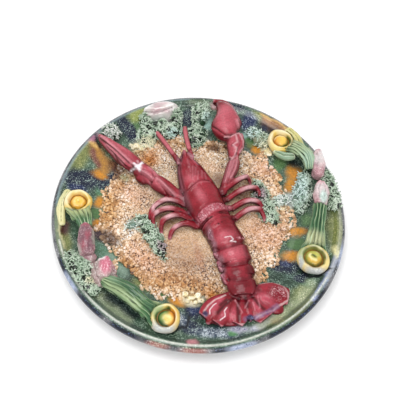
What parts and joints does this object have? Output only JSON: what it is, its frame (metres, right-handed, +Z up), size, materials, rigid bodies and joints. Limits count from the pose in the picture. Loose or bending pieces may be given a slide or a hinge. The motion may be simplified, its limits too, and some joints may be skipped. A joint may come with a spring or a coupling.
{
  "type": "ceramic lobster plate",
  "caption": "Round glazed earthenware wall plate with a crimson lobster on sand, ringed by moss, a shell and seaweed pods in high relief.",
  "frame": {"origin": "on the table under the middle of the dish", "axes": "+Z up out of the dish; +Y towards the top of the plate, where the claws point; +X to the right seen from above"},
  "size_m": [0.3048, 0.3048, 0.044],
  "materials": {
    "dish_glaze": "glossy mottled green, blue, ochre and brown lead glaze",
    "sand_grit": "tan grit with a thin glaze, rough and grainy",
    "lobster_glaze": "glossy crimson glaze, paler where it thins on edges",
    "moss_glaze": "pale grey-green strands of clay under a thin glaze",
    "disc_glaze": "glossy yellow glaze running into ochre and green",
    "stalk_glaze": "glossy green glaze, pale on the ribs",
    "bud_glaze": "glossy pale pink glaze, mottled",
    "leaf_glaze": "glossy pale yellow-green glaze",
    "shell_glaze": "glossy white glaze flushed with pink"
  },
  "bodies": {
    "root": {"dish": "dish_glaze", "sand_bed": "sand_grit", "carapace": "lobster_glaze", "abdomen_1": "lobster_glaze", "abdomen_2": "lobster_glaze", "abdomen_3": "lobster_glaze", "abdomen_4": "lobster_glaze", "abdomen_5": "lobster_glaze", "telson": "lobster_glaze", "left_inner_fluke": "lobster_glaze", "left_outer_fluke": "lobster_glaze", "right_outer_fluke": "lobster_glaze", "right_inner_fluke": "lobster_glaze", "left_merus": "lobster_glaze", "left_wrist": "lobster_glaze", "left_claw": "lobster_glaze", "left_finger": "lobster_glaze", "right_merus": "lobster_glaze", "right_wrist": "lobster_glaze", "right_claw": "lobster_glaze", "right_finger": "lobster_glaze", "left_leg_1": "lobster_glaze", "left_leg_2": "lobster_glaze", "left_leg_3": "lobster_glaze", "left_leg_4": "lobster_glaze", "right_leg_1": "lobster_glaze", "right_leg_2": "lobster_glaze", "right_leg_3": "lobster_glaze", "right_leg_4": "lobster_glaze", "left_antenna": "lobster_glaze", "right_antenna": "lobster_glaze", "left_upper_disc": "disc_glaze", "left_lower_disc": "disc_glaze", "right_upper_disc": "disc_glaze", "right_lower_disc": "disc_glaze", "left_long_bud": "bud_glaze", "left_calyx": "bud_glaze", "left_cone_bud": "bud_glaze", "right_upper_bud": "bud_glaze", "right_lower_bud": "bud_glaze", "left_upper_stalk": "stalk_glaze", "left_lower_stalk": "stalk_glaze", "right_upper_stalk": "stalk_glaze", "right_lower_stalk": "stalk_glaze", "left_leaf": "leaf_glaze", "right_leaf": "leaf_glaze", "folded_leaf": "leaf_glaze", "shell": "shell_glaze", "claw_tip_moss": "moss_glaze", "back_left_moss": "moss_glaze", "shell_moss": "moss_glaze", "antenna_moss": "moss_glaze", "back_moss": "moss_glaze", "right_back_moss": "moss_glaze", "right_inner_moss": "moss_glaze", "right_bud_moss": "moss_glaze", "right_rim_moss": "moss_glaze", "left_inner_moss": "moss_glaze", "left_rim_moss": "moss_glaze"}
  },
  "joints": []
}
